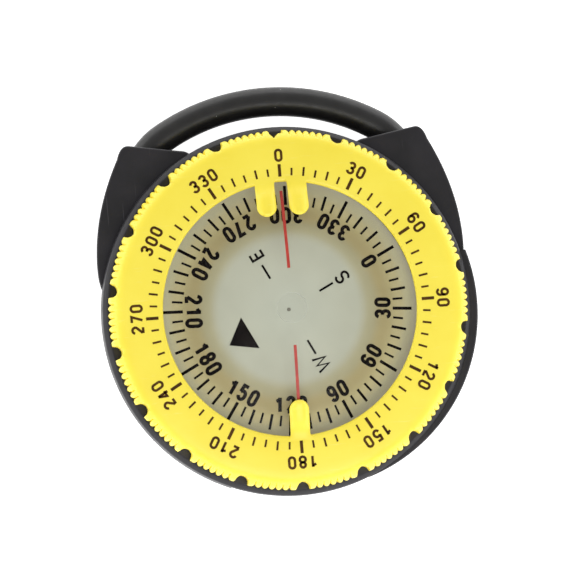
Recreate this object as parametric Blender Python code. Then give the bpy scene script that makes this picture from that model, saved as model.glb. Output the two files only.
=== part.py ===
"""Bearing compass with a rotating bezel, built as separate solids.

Metres, +Z up along the bezel's axis. The origin is the middle of the flat back, and +Y is the
direction of travel, where the bezel's zero mark and the carry loop are. The floating card turns and
tilts about the point of the pivot needle.
"""

import math

import bmesh
import bpy
from mathutils import Matrix, Vector

MM = 0.001

# Driving dimensions, in millimetres: (r) is a radius about the Z axis, z a height above the back.
CLEARANCE = 0.3

RIM_R = 37.45
RIM_TOP_Z = 21.5
RIM_UNDER_Z = 17.0
RIM_SLOPE_Z = 13.9
RIM_TAPER = 0.25
RIM_CHAMFER = 1.0
WALL_R = 32.6
BORE_R = 28.9
COLLAR_R = 30.6
COLLAR_TOP_Z = 25.85
LIP_R = 27.6
LIP_UNDER_Z = 25.35
BODY_BOTTOM_Z = 2.5

CHEEK_R = 35.7
CHEEK_CENTRE = (3.1, -0.7)
CHEEK_TOP_Z = 20.4
CHEEK_FROM_DEG = 73.0
CHEEK_TO_DEG = 162.0
LUG_TOP_Z = 17.5
LUG_FACE_INNER = (18.4, 34.0)
LUG_FACE_OUTER = (29.2, 35.8)
LUG_CORNER_END = (31.7, 33.2)
LUG_SIDE_END = (37.35, 11.0)
LUG_FOOT = (36.4, 6.0)

BACK_R = 33.2
BACK_THICKNESS = 2.2
VENT_R = 0.8
SCREW_CIRCLE_R = 30.7
SCREW_ANGLES_DEG = (20.0, 110.0, 200.0, 290.0)
SCREW_SHAFT_R = 0.8
SCREW_HEAD_R = 1.4
SCREW_LENGTH = 7.0

BEZEL_R = 36.2
BEZEL_INNER_R = 25.5
BEZEL_BOTTOM_Z = 21.9
BEZEL_TOP_Z = 27.0
BEZEL_PLATE_UNDER_Z = 26.2
BEZEL_FLAT_R = 34.0
BEZEL_TIP_TOP_Z = 24.0
BEZEL_SKIRT_R = 30.95
NOTCH_COUNT = 18
NOTCH_R = 1.5
NOTCH_CIRCLE_R = 36.0
SHALLOW_NOTCH_CIRCLE_R = 36.9
CLICK_OUTER_R = 33.6
CLICK_RIDGE_Z = 22.25
CLICK_DEPTH = 0.5
PRONG_WIDTH = 3.9
PRONG_PAIR_X = 3.25
PRONG_PAIR_TIP_Y = 18.5
PRONG_SINGLE_TIP_Y = 18.4
PRONG_THICKNESS = 1.3

DOME_TOP_Z = 30.3
DOME_SPHERE_R = 74.5
DOME_WALL = 1.2
CAPSULE_R = 28.6
CAPSULE_INNER_R = 27.2
DOME_RIM_Z = 22.95
BOWL_TOP_Z = 21.95
BOWL_FLOOR_Z = 6.9
BOWL_FLOOR_TOP_Z = 8.4
BOWL_FOOT_Z = 3.7
PLUG_R = 3.0

PIVOT_Z = 21.2
CARD_FLAT_R = 16.5
CARD_R = 26.4
CARD_TOP_Z = 23.6
CARD_EDGE_Z = 20.1
CARD_THICKNESS = 0.8
BAND_R = 25.0
BAND_WALL = 0.7
BAND_LOW_Z = 14.2
MAGNET_SIZE = (3.0, 24.0, 3.0)
MAGNET_X = 7.0
MAGNET_TOP_Z = 20.2
CARD_NORTH_DEG = 243.2

DETENT_R = 32.3
DETENT_POCKET_R = 1.3
DETENT_POCKET_Z = 15.3
PLUNGER_R = 1.0
PLUNGER_FOOT_Z = 18.4
PLUNGER_TIP_Z = 22.15
SPRING_R = 0.75
SPRING_WIRE_R = 0.18
SPRING_TURNS = 4

LOOP_CORD_R = 3.0
LOOP_R = 42.3
LOOP_CENTRE_Y = 1.1
LOOP_Z = 11.4
LOOP_HALF_DEG = 31.0
LOOP_END_R = 13.0
LOOP_END_DEG = 90.0
LOOP_PIN_R = 0.9
LOOP_PIN_DEG = 80.0
LOOP_PIN_TOP_Z = 15.4

WINDOW_HALF_DEG = 19.0
WINDOW_SEAT_HALF_DEG = 22.0
WINDOW_SEAT_R = 30.9
WINDOW_LOW_Z = 10.6
WINDOW_HIGH_Z = 18.2
WINDOW_SEAT_LOW_Z = 9.2
WINDOW_SEAT_HIGH_Z = 19.2

SEGMENTS = 72
CAPSULE_SEGMENTS = 48
SMALL_SEGMENTS = 20

# Colours as linear red, green and blue, with roughness and metallic value.
BLACK_PLASTIC = ((0.028, 0.027, 0.030), 0.55, 0.0)
YELLOW_PLASTIC = ((0.93, 0.76, 0.06), 0.35, 0.0)
CLEAR_PLASTIC = ((0.85, 0.90, 0.88), 0.08, 0.0)
CARD_PLASTIC = ((0.50, 0.51, 0.40), 0.6, 0.0)
BLACK_RUBBER = ((0.012, 0.012, 0.012), 0.6, 0.0)
SEAL_RUBBER = ((0.03, 0.03, 0.03), 0.8, 0.0)
STEEL = ((0.55, 0.55, 0.56), 0.3, 1.0)
BRASS = ((0.70, 0.52, 0.22), 0.35, 1.0)
RUBY = ((0.45, 0.03, 0.05), 0.1, 0.0)


def remove_old_objects():
    for old in list(bpy.data.objects):
        bpy.data.objects.remove(old)


def add_object(name, bm, finish=None, sharp_deg=35.0):
    """Makes an object of the bmesh, with faces out, smooth round sides and its own material."""
    bmesh.ops.recalc_face_normals(bm, faces=bm.faces)
    mesh = bpy.data.meshes.new(name)
    bm.to_mesh(mesh)
    bm.free()
    mesh.shade_smooth()
    mesh.set_sharp_from_angle(angle=math.radians(sharp_deg))
    piece = bpy.data.objects.new(name, mesh)
    bpy.context.scene.collection.objects.link(piece)
    if finish is not None:
        paint(piece, finish)
    return piece


def paint(piece, finish):
    colour, roughness, metallic = finish
    material = bpy.data.materials.new(piece.name)
    material.use_nodes = True
    shader = material.node_tree.nodes["Principled BSDF"]
    shader.inputs["Base Color"].default_value = (*colour, 1.0)
    shader.inputs["Roughness"].default_value = roughness
    shader.inputs["Metallic"].default_value = metallic
    piece.data.materials.append(material)


def combine(piece, other, operation):
    """Cuts other from piece, or joins it on, with a Boolean that stays on the piece."""
    boolean = piece.modifiers.new(other.name, "BOOLEAN")
    boolean.operation = operation
    boolean.solver = "EXACT"
    boolean.object = other
    other.display_type = "WIRE"
    other.hide_render = True


def cut(piece, cutter):
    combine(piece, cutter, "DIFFERENCE")


def join(piece, other):
    combine(piece, other, "UNION")


def clock_point(radius, degrees):
    """The point at a clock angle: 0 at +Y, and 90 at +X."""
    angle = math.radians(degrees)
    return Vector((radius * math.sin(angle), radius * math.cos(angle), 0.0))


def turned_bmesh(profile, steps):
    """A solid of revolution about Z from a closed outline of (radius, z) points in millimetres."""
    bm = bmesh.new()
    corners = [bm.verts.new((r * MM, 0.0, z * MM)) for r, z in profile]
    edges = []
    for index, corner in enumerate(corners):
        following = corners[(index + 1) % len(corners)]
        on_axis = abs(corner.co.x) < 1e-9 and abs(following.co.x) < 1e-9
        if not on_axis:
            edges.append(bm.edges.new((corner, following)))
    bmesh.ops.spin(
        bm, geom=corners + edges, cent=(0, 0, 0), axis=(0, 0, 1), dvec=(0, 0, 0),
        angle=math.tau, steps=steps, use_merge=True, use_duplicate=False,
    )
    bmesh.ops.remove_doubles(bm, verts=bm.verts, dist=1e-7)
    bmesh.ops.dissolve_degenerate(bm, edges=bm.edges, dist=1e-8)
    return bm


def turned(name, profile, finish=None, steps=SEGMENTS, place=(0.0, 0.0)):
    """A turned piece, moved so that its axis stands at place, in millimetres."""
    bm = turned_bmesh(profile, steps)
    bmesh.ops.translate(bm, verts=bm.verts, vec=(place[0] * MM, place[1] * MM, 0.0))
    return add_object(name, bm, finish)


def ring_part(name, profile, middle_deg, half_deg, steps, finish=None):
    """Part of a turned ring, with closed ends, either side of a clock angle."""
    bm = bmesh.new()
    corners = [bm.verts.new((0.0, r * MM, z * MM)) for r, z in profile]
    edges = []
    for index, corner in enumerate(corners):
        edges.append(bm.edges.new((corner, corners[(index + 1) % len(corners)])))
    bmesh.ops.rotate(
        bm, verts=corners, cent=(0, 0, 0),
        matrix=Matrix.Rotation(math.radians(half_deg - middle_deg), 3, "Z"),
    )
    swept = bmesh.ops.spin(
        bm, geom=corners + edges, cent=(0, 0, 0), axis=(0, 0, 1), dvec=(0, 0, 0),
        angle=math.radians(-2.0 * half_deg), steps=steps, use_duplicate=False,
    )
    last = [item for item in swept["geom_last"] if isinstance(item, bmesh.types.BMEdge)]
    bmesh.ops.contextual_create(bm, geom=edges)
    bmesh.ops.contextual_create(bm, geom=last)
    return add_object(name, bm, finish)


def prism(name, outline, low_z, high_z, finish=None):
    """A plan outline of (x, y) points in millimetres, extruded between two heights."""
    bm = bmesh.new()
    corners = [bm.verts.new((x * MM, y * MM, low_z * MM)) for x, y in outline]
    face = bm.faces.new(corners)
    raised = bmesh.ops.extrude_face_region(bm, geom=[face])
    top = [item for item in raised["geom"] if isinstance(item, bmesh.types.BMVert)]
    bmesh.ops.translate(bm, verts=top, vec=(0.0, 0.0, (high_z - low_z) * MM))
    return add_object(name, bm, finish)


def block(name, centre, size, finish=None, clock_deg=0.0):
    """A rectangular block, turned about the Z axis so that its Y side points at a clock angle."""
    bm = bmesh.new()
    bmesh.ops.create_cube(bm, size=1.0)
    bmesh.ops.scale(bm, verts=bm.verts, vec=[length * MM for length in size])
    bmesh.ops.translate(bm, verts=bm.verts, vec=[place * MM for place in centre])
    turn = Matrix.Rotation(math.radians(-clock_deg), 3, "Z")
    bmesh.ops.rotate(bm, verts=bm.verts, cent=(0, 0, 0), matrix=turn)
    return add_object(name, bm, finish)


def bezier(start, control, end, steps):
    """Points of a quadratic curve, without its last point."""
    points = []
    for index in range(steps):
        t = index / steps
        weights = ((1 - t) ** 2, 2 * t * (1 - t), t * t)
        x = weights[0] * start[0] + weights[1] * control[0] + weights[2] * end[0]
        y = weights[0] * start[1] + weights[1] * control[1] + weights[2] * end[1]
        points.append((x, y))
    return points


def arc_outline(radius, from_deg, to_deg, steps):
    points = []
    for index in range(steps + 1):
        degrees = from_deg + (to_deg - from_deg) * index / steps
        point = clock_point(radius, degrees)
        points.append((point.x, point.y))
    return points


def dome_z(radius, sphere_r=DOME_SPHERE_R):
    """Height of the dome's outer surface, or of a shell inside it, at a radius from the axis."""
    centre_z = DOME_TOP_Z - DOME_SPHERE_R
    return centre_z + math.sqrt(sphere_r**2 - radius**2)


# The housing and what is fixed to it.


def housing_profile():
    groove_low = 23.4
    groove_high = 24.6
    groove_r = COLLAR_R - 0.6
    return [
        (BORE_R, BODY_BOTTOM_Z),
        (WALL_R - 0.6, BODY_BOTTOM_Z),
        (WALL_R, BODY_BOTTOM_Z + 0.6),
        (WALL_R, RIM_SLOPE_Z),
        (RIM_R - 0.5, RIM_UNDER_Z),
        (RIM_R, RIM_UNDER_Z + 0.5),
        (RIM_R - RIM_TAPER, RIM_TOP_Z - RIM_CHAMFER),
        (RIM_R - RIM_TAPER - RIM_CHAMFER, RIM_TOP_Z),
        (COLLAR_R, RIM_TOP_Z),
        (COLLAR_R, groove_low),
        (groove_r, groove_low),
        (groove_r, groove_high),
        (COLLAR_R, groove_high),
        (COLLAR_R, COLLAR_TOP_Z - 0.3),
        (COLLAR_R - 0.3, COLLAR_TOP_Z),
        (LIP_R, COLLAR_TOP_Z),
        (LIP_R, LIP_UNDER_Z),
        (BORE_R, LIP_UNDER_Z - 0.4),
    ]


def cheek_outline():
    """The thumb rest on the right: the bored wall's arc inside, and a swollen arc outside."""
    inner = arc_outline(31.2, CHEEK_TO_DEG - 8.0, CHEEK_FROM_DEG, 10)
    outer = arc_outline(CHEEK_R, CHEEK_FROM_DEG, CHEEK_TO_DEG, 20)
    return inner + [(x + CHEEK_CENTRE[0], y + CHEEK_CENTRE[1]) for x, y in outer]


def lug_outline(side):
    """Inner arc in the wall, the flank, the flat end face, the rounded corner and the long side."""
    points = arc_outline(31.2, 84.0, 27.0, 8)
    points += bezier((16.2, 32.4), (17.0, 33.8), LUG_FACE_INNER, 3)
    points.append(LUG_FACE_INNER)
    points += bezier(LUG_FACE_OUTER, (30.9, 36.0), LUG_CORNER_END, 5)
    points += bezier(LUG_CORNER_END, (37.5, 22.0), LUG_SIDE_END, 8)
    points += bezier(LUG_SIDE_END, (37.3, 8.0), LUG_FOOT, 4)
    points.append(LUG_FOOT)
    return [(side * x, y) for x, y in points]


def loop_end_centre(side):
    """Centre of the tighter bend that takes the loop down into a lug."""
    joint = clock_point(LOOP_R - LOOP_END_R, LOOP_HALF_DEG)
    return Vector((side * joint.x, LOOP_CENTRE_Y + joint.y, 0.0))


def loop_bmesh(cord_r, end_deg):
    """A round cord swept from inside the left lug, over the big arc, to inside the right lug."""
    left = loop_end_centre(-1)
    right = loop_end_centre(1)
    start = left + clock_point(LOOP_END_R, -end_deg)
    bm = bmesh.new()
    circle = bmesh.ops.create_circle(bm, cap_ends=False, radius=cord_r * MM, segments=12)
    turn_up = Matrix.Rotation(math.radians(90.0), 3, "X")
    turn_round = Matrix.Rotation(math.radians(90.0 + end_deg), 3, "Z")
    bmesh.ops.rotate(bm, verts=circle["verts"], cent=(0, 0, 0), matrix=turn_round @ turn_up)
    place = Vector((start.x, start.y, LOOP_Z)) * MM
    bmesh.ops.translate(bm, verts=circle["verts"], vec=place)
    ring = list(bm.edges)
    bmesh.ops.contextual_create(bm, geom=ring)
    bends = (
        (left, end_deg - LOOP_HALF_DEG, 6),
        (Vector((0.0, LOOP_CENTRE_Y, 0.0)), 2.0 * LOOP_HALF_DEG, 20),
        (right, end_deg - LOOP_HALF_DEG, 6),
    )
    for centre, sweep, steps in bends:
        ends = {vert for edge in ring for vert in edge.verts}
        swept = bmesh.ops.spin(
            bm, geom=list(ends) + ring, cent=centre * MM, axis=(0, 0, 1), dvec=(0, 0, 0),
            angle=math.radians(-sweep), steps=steps, use_duplicate=False,
        )
        ring = [item for item in swept["geom_last"] if isinstance(item, bmesh.types.BMEdge)]
    bmesh.ops.contextual_create(bm, geom=ring)
    return bm


def loop_pin_place(side):
    centre = loop_end_centre(side)
    return centre + clock_point(LOOP_END_R, side * LOOP_PIN_DEG)


def make_housing():
    housing = turned("housing", housing_profile(), BLACK_PLASTIC)
    join(housing, prism("cheek_shape", cheek_outline(), BODY_BOTTOM_Z, CHEEK_TOP_Z))
    for side, word in ((-1, "left"), (1, "right")):
        join(housing, prism(f"{word}_lug_shape", lug_outline(side), BODY_BOTTOM_Z, LUG_TOP_Z))
    cut(housing, add_object("loop_socket_cutter", loop_bmesh(LOOP_CORD_R + CLEARANCE, LOOP_END_DEG + 2.0)))
    for side, word in ((-1, "left"), (1, "right")):
        place = loop_pin_place(side)
        bore = LOOP_PIN_R + CLEARANCE
        top = LOOP_PIN_TOP_Z + 0.5
        pin_hole = [(0.0, 0.0), (bore, 0.0), (bore, top), (0.0, top)]
        cut(housing, turned(f"{word}_pin_cutter", pin_hole, steps=12, place=(place.x, place.y)))
    for index, degrees in enumerate(SCREW_ANGLES_DEG):
        place = clock_point(SCREW_CIRCLE_R, degrees)
        bore = SCREW_SHAFT_R + CLEARANCE
        hole = [(0.0, 0.0), (bore, 0.0), (bore, SCREW_LENGTH + 0.8), (0.0, SCREW_LENGTH + 1.4)]
        cutter = turned(f"screw_cutter_{index + 1}", hole, steps=12, place=(place.x, place.y))
        cut(housing, cutter)
    pocket_top = RIM_TOP_Z + 1.0
    pocket = [
        (0.0, DETENT_POCKET_Z), (DETENT_POCKET_R, DETENT_POCKET_Z),
        (DETENT_POCKET_R, pocket_top), (0.0, pocket_top),
    ]
    cut(housing, turned("detent_cutter", pocket, steps=16, place=(DETENT_R, 0.0)))
    sight = [(27.0, WINDOW_LOW_Z), (41.0, WINDOW_LOW_Z), (41.0, WINDOW_HIGH_Z), (27.0, WINDOW_HIGH_Z)]
    cut(housing, ring_part("window_sight_cutter", sight, 180.0, WINDOW_HALF_DEG, 8))
    seat = [
        (WINDOW_SEAT_R, WINDOW_SEAT_LOW_Z), (41.0, WINDOW_SEAT_LOW_Z),
        (41.0, WINDOW_SEAT_HIGH_Z), (WINDOW_SEAT_R, WINDOW_SEAT_HIGH_Z),
    ]
    cut(housing, ring_part("window_seat_cutter", seat, 180.0, WINDOW_SEAT_HALF_DEG, 10))


def make_window():
    """The clear side window and the frame-shaped seal behind it."""
    half = WINDOW_SEAT_HALF_DEG - 0.5
    low = WINDOW_SEAT_LOW_Z + CLEARANCE
    high = WINDOW_SEAT_HIGH_Z - CLEARANCE
    seal_in = WINDOW_SEAT_R + CLEARANCE
    seal_out = seal_in + 0.5
    seal_shape = [(seal_in, low), (seal_out, low), (seal_out, high), (seal_in, high)]
    seal = ring_part("window_seal", seal_shape, 180.0, half, 10, SEAL_RUBBER)
    gap = [(30.0, WINDOW_LOW_Z), (34.0, WINDOW_LOW_Z), (34.0, WINDOW_HIGH_Z), (30.0, WINDOW_HIGH_Z)]
    cut(seal, ring_part("window_seal_cutter", gap, 180.0, WINDOW_HALF_DEG, 8))
    pane_in = seal_out + CLEARANCE
    pane_out = pane_in + 1.9
    pane = [
        (pane_in, low), (pane_out - 0.4, low), (pane_out, low + 0.4),
        (pane_out, high - 0.4), (pane_out - 0.4, high), (pane_in, high),
    ]
    ring_part("side_window", pane, 180.0, half, 10, CLEAR_PLASTIC)


def screw_head_profile(extra):
    """Outline of a countersunk screw, grown all round by extra to make its hole."""
    head_low = 0.1
    return [
        (0.0, head_low),
        (SCREW_HEAD_R + extra, head_low),
        (SCREW_SHAFT_R + extra, head_low + 0.9),
        (SCREW_SHAFT_R + extra, SCREW_LENGTH - 0.6),
        (0.0, SCREW_LENGTH),
    ]


def make_back_cover():
    profile = [
        (0.0, 0.0), (BACK_R - 0.6, 0.0), (BACK_R, 0.6),
        (BACK_R, BACK_THICKNESS), (0.0, BACK_THICKNESS),
    ]
    cover = turned("back_cover", profile, BLACK_PLASTIC)
    for index, degrees in enumerate(SCREW_ANGLES_DEG):
        place = clock_point(SCREW_CIRCLE_R, degrees)
        reach = SCREW_SHAFT_R + CLEARANCE
        hole = [
            (0.0, -1.0), (SCREW_HEAD_R + CLEARANCE, -1.0), (SCREW_HEAD_R + CLEARANCE, 0.25),
            (reach, 1.15), (reach, 3.0), (0.0, 3.0),
        ]
        cutter = turned(f"countersink_cutter_{index + 1}", hole, steps=16, place=(place.x, place.y))
        cut(cover, cutter)
    vent = [(0.0, -1.0), (VENT_R, -1.0), (VENT_R, 3.0), (0.0, 3.0)]
    cut(cover, turned("vent_cutter", vent, steps=12, place=(0.0, 7.0)))


def make_back_screws():
    for index, degrees in enumerate(SCREW_ANGLES_DEG):
        place = clock_point(SCREW_CIRCLE_R, degrees)
        profile = screw_head_profile(0.0)
        screw = turned(f"back_screw_{index + 1}", profile, STEEL, 16, (place.x, place.y))
        socket = [(0.0, -0.5), (0.75, -0.5), (0.55, 0.7), (0.0, 0.8)]
        cutter = turned(f"socket_cutter_{index + 1}", socket, steps=6, place=(place.x, place.y))
        cut(screw, cutter)


def make_snap_ring():
    """Split wire ring, half in the collar's groove and half in the bezel's."""
    low = 23.7
    high = 24.3
    section = [(30.35, low), (31.25, low), (31.25, high), (30.35, high)]
    ring_part("bezel_snap_ring", section, 180.0, 174.0, 60, STEEL)


def make_loop():
    loop = add_object("carry_loop", loop_bmesh(LOOP_CORD_R, LOOP_END_DEG), BLACK_RUBBER)
    for side, word in ((-1, "left"), (1, "right")):
        place = loop_pin_place(side)
        bore = LOOP_PIN_R + CLEARANCE
        hole = [(0.0, 5.0), (bore, 5.0), (bore, 17.0), (0.0, 17.0)]
        cut(loop, turned(f"{word}_loop_hole_cutter", hole, steps=12, place=(place.x, place.y)))
        pin = [
            (0.0, 3.0), (LOOP_PIN_R, 3.0), (LOOP_PIN_R, LOOP_PIN_TOP_Z), (0.0, LOOP_PIN_TOP_Z),
        ]
        turned(f"loop_pin_{word}", pin, STEEL, 12, (place.x, place.y))


# The fluid capsule.


def make_capsule_dome():
    inner_sphere = DOME_SPHERE_R - DOME_WALL
    hole_r = PLUG_R + CLEARANCE
    outer = [(r, dome_z(r)) for r in (CAPSULE_R, 22.0, 13.0, hole_r)]
    inner = [(r, dome_z(r, inner_sphere)) for r in (hole_r, 13.0, 22.0)]
    rim = [(CAPSULE_INNER_R, DOME_RIM_Z), (CAPSULE_R, DOME_RIM_Z)]
    turned("capsule_dome", outer + inner + rim, CLEAR_PLASTIC, CAPSULE_SEGMENTS)
    plug = [
        (0.0, DOME_TOP_Z), (PLUG_R, dome_z(PLUG_R)),
        (PLUG_R, dome_z(PLUG_R, inner_sphere)), (0.0, DOME_TOP_Z - DOME_WALL),
    ]
    turned("fill_plug", plug, CLEAR_PLASTIC, SMALL_SEGMENTS)


def make_capsule_bowl():
    chamber_r = 14.0
    profile = [
        (0.0, BOWL_FLOOR_Z), (chamber_r, BOWL_FLOOR_Z), (chamber_r, BOWL_FOOT_Z),
        (chamber_r + 1.6, BOWL_FOOT_Z), (chamber_r + 1.6, BOWL_FLOOR_Z),
        (CAPSULE_R - 2.0, BOWL_FLOOR_Z), (CAPSULE_R - 2.0, BOWL_FOOT_Z),
        (CAPSULE_R, BOWL_FOOT_Z), (CAPSULE_R, BOWL_TOP_Z), (CAPSULE_INNER_R, BOWL_TOP_Z),
        (CAPSULE_INNER_R, BOWL_FLOOR_TOP_Z), (0.0, BOWL_FLOOR_TOP_Z),
    ]
    bowl = turned("capsule_bowl", profile, CLEAR_PLASTIC, CAPSULE_SEGMENTS)
    for index in range(4):
        place = clock_point(9.0, 45.0 + 90.0 * index)
        bleed = [(0.0, 6.0), (1.0, 6.0), (1.0, 9.0), (0.0, 9.0)]
        cut(bowl, turned(f"bleed_cutter_{index + 1}", bleed, steps=10, place=(place.x, place.y)))


def make_capsule_seals():
    seal = [(27.3, 22.25), (28.4, 22.25), (28.4, 22.65), (27.3, 22.65)]
    turned("capsule_seal", seal, SEAL_RUBBER, CAPSULE_SEGMENTS)
    cushion = [(22.0, 2.5), (28.3, 2.5), (28.3, 3.4), (22.0, 3.4)]
    turned("capsule_cushion", cushion, SEAL_RUBBER, CAPSULE_SEGMENTS)


def make_diaphragm():
    """A convoluted rubber disc under the bowl's floor, and the ring that holds its edge."""
    disc = [
        (0.0, 5.2), (8.5, 5.2), (10.0, 5.7), (11.2, 5.1), (13.6, 5.1),
        (13.6, 5.7), (11.4, 5.7), (10.0, 6.4), (8.2, 5.8), (0.0, 5.8),
    ]
    turned("expansion_diaphragm", disc, SEAL_RUBBER, 32)
    ring = [(11.6, 3.9), (13.6, 3.9), (13.6, 4.8), (11.6, 4.8)]
    turned("diaphragm_ring", ring, BRASS, 32)


def make_pivot():
    top = PIVOT_Z - 2.4
    socket = PIVOT_Z - 5.0
    post = [
        (0.0, 8.7), (4.0, 8.7), (4.0, 9.6), (2.0, 10.4), (1.5, top),
        (0.85, top), (0.85, socket), (0.0, socket),
    ]
    turned("pivot_post", post, BRASS, SMALL_SEGMENTS)
    foot = socket + CLEARANCE
    needle = [(0.0, foot), (0.5, foot), (0.5, PIVOT_Z - 1.4), (0.0, PIVOT_Z)]
    turned("pivot_needle", needle, STEEL, 12)


# The floating card and the bearing that it turns on.


def make_jewel():
    stone = [
        (0.0, PIVOT_Z + 0.4), (1.0, PIVOT_Z - 0.6), (1.3, PIVOT_Z - 0.6),
        (1.3, PIVOT_Z + 0.7), (0.0, PIVOT_Z + 0.7),
    ]
    turned("jewel_stone", stone, RUBY, SMALL_SEGMENTS)
    cup = [
        (0.0, PIVOT_Z + 1.0), (1.6, PIVOT_Z + 1.0), (1.6, PIVOT_Z - 0.8), (2.8, PIVOT_Z - 0.8),
        (2.8, PIVOT_Z + 1.3), (0.0, PIVOT_Z + 1.3),
    ]
    turned("jewel_cup", cup, BRASS, SMALL_SEGMENTS)


def skirt_under_z(radius):
    """Height of the underside of the card's sloped skirt."""
    part = (CARD_R - radius) / (CARD_R - CARD_FLAT_R)
    return CARD_EDGE_Z - CARD_THICKNESS + (CARD_TOP_Z - CARD_EDGE_Z) * part


def make_card():
    """The card's flat disc and sloped skirt, with the upright band that the side window shows."""
    under_z = CARD_TOP_Z - CARD_THICKNESS
    band_in = BAND_R - BAND_WALL
    card = [
        (0.0, CARD_TOP_Z), (CARD_FLAT_R, CARD_TOP_Z), (CARD_R, CARD_EDGE_Z),
        (CARD_R, skirt_under_z(CARD_R)), (BAND_R, skirt_under_z(BAND_R)), (BAND_R, BAND_LOW_Z),
        (band_in, BAND_LOW_Z), (band_in, skirt_under_z(band_in)),
        (CARD_FLAT_R, under_z), (0.0, under_z),
    ]
    turned("card", card, CARD_PLASTIC)


def make_magnets():
    """Two bar magnets along the card's north-south line, and the yoke that ties them to it."""
    yoke_low = MAGNET_TOP_Z + CLEARANCE
    yoke_high = CARD_TOP_Z - CARD_THICKNESS - CLEARANCE
    middle = (yoke_low + yoke_high) / 2.0
    yoke_size = (18.0, 8.0, yoke_high - yoke_low)
    yoke = block("magnet_yoke", (0.0, 0.0, middle), yoke_size, CARD_PLASTIC, CARD_NORTH_DEG)
    hole = [(0.0, 18.0), (3.1, 18.0), (3.1, 23.0), (0.0, 23.0)]
    cut(yoke, turned("yoke_cutter", hole, steps=SMALL_SEGMENTS))
    for side, word in ((-1, "left"), (1, "right")):
        centre = (side * MAGNET_X, 0.0, MAGNET_TOP_Z - MAGNET_SIZE[2] / 2.0)
        block(f"magnet_{word}", centre, MAGNET_SIZE, STEEL, CARD_NORTH_DEG)


# The rotating bezel and its click.


def bezel_profile():
    groove_low = 23.4
    groove_high = 24.6
    groove_r = BEZEL_SKIRT_R + 0.7
    return [
        (BEZEL_SKIRT_R, BEZEL_PLATE_UNDER_Z),
        (BEZEL_SKIRT_R, groove_high),
        (groove_r, groove_high),
        (groove_r, groove_low),
        (BEZEL_SKIRT_R, groove_low),
        (BEZEL_SKIRT_R, CLICK_RIDGE_Z),
        (CLICK_OUTER_R, CLICK_RIDGE_Z),
        (CLICK_OUTER_R, BEZEL_BOTTOM_Z),
        (BEZEL_R, BEZEL_BOTTOM_Z),
        (BEZEL_R, BEZEL_TIP_TOP_Z),
        (BEZEL_FLAT_R, BEZEL_TOP_Z),
        (BEZEL_INNER_R + 0.3, BEZEL_TOP_Z),
        (BEZEL_INNER_R, BEZEL_TOP_Z - 0.3),
        (BEZEL_INNER_R, BEZEL_PLATE_UNDER_Z),
    ]


def press_click_grooves(bm):
    """Lifts every second spoke of the click ring, which leaves 36 shallow grooves."""
    spoke = math.tau / SEGMENTS
    for vert in bm.verts:
        on_ring = abs(vert.co.z - CLICK_RIDGE_Z * MM) < 1e-6
        number = round(math.atan2(vert.co.y, vert.co.x) / spoke)
        if on_ring and number % 2 == 0:
            vert.co.z += CLICK_DEPTH * MM


def prong(name, middle_x, tip_y, direction):
    """A round-ended finger that follows the dome inward from the bezel's plate."""
    root_y = BEZEL_INNER_R + 2.5
    half = PRONG_WIDTH / 2.0
    across = 4
    along = 8
    bm = bmesh.new()
    bmesh.ops.create_grid(bm, x_segments=across, y_segments=along, size=1.0)
    places = {}
    for vert in bm.verts:
        t = (vert.co.y + 1.0) / 2.0
        y = tip_y + half * (1.0 - math.cos(min(t * 2.0, 1.0) * math.pi / 2.0))
        if t > 0.5:
            y = tip_y + half + (root_y - tip_y - half) * (t - 0.5) * 2.0
        reach = min(max((tip_y + half - y) / half, 0.0), 1.0)
        width = half * max(math.sqrt(1.0 - reach**2), 0.12)
        places[vert.index] = vert.co.x
        vert.co.x = (middle_x + vert.co.x * width) * MM
        vert.co.y = direction * y * MM
    raised = bmesh.ops.extrude_face_region(bm, geom=list(bm.faces))
    top = {item for item in raised["geom"] if isinstance(item, bmesh.types.BMVert)}
    for vert in bm.verts:
        radius = math.hypot(vert.co.x, vert.co.y) / MM
        low = dome_z(min(radius, 25.4)) + 0.45
        if vert in top:
            across_part = abs(vert.co.x / MM - middle_x) / half
            vert.co.z = (low + PRONG_THICKNESS - 0.5 * across_part**2) * MM
        else:
            vert.co.z = low * MM
    return add_object(name, bm)


def make_bezel():
    bm = turned_bmesh(bezel_profile(), SEGMENTS)
    press_click_grooves(bm)
    bezel = add_object("bezel", bm, YELLOW_PLASTIC)
    join(bezel, prong("left_prong_shape", -PRONG_PAIR_X, PRONG_PAIR_TIP_Y, 1))
    join(bezel, prong("right_prong_shape", PRONG_PAIR_X, PRONG_PAIR_TIP_Y, 1))
    join(bezel, prong("rear_prong_shape", 0.0, PRONG_SINGLE_TIP_Y, -1))
    for index in range(NOTCH_COUNT):
        radius = NOTCH_CIRCLE_R if index else SHALLOW_NOTCH_CIRCLE_R
        place = clock_point(radius, 360.0 / NOTCH_COUNT * index)
        notch = [(0.0, 20.0), (NOTCH_R, 20.0), (NOTCH_R, 29.0), (0.0, 29.0)]
        cut(bezel, turned(f"notch_cutter_{index + 1}", notch, steps=12, place=(place.x, place.y)))


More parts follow.
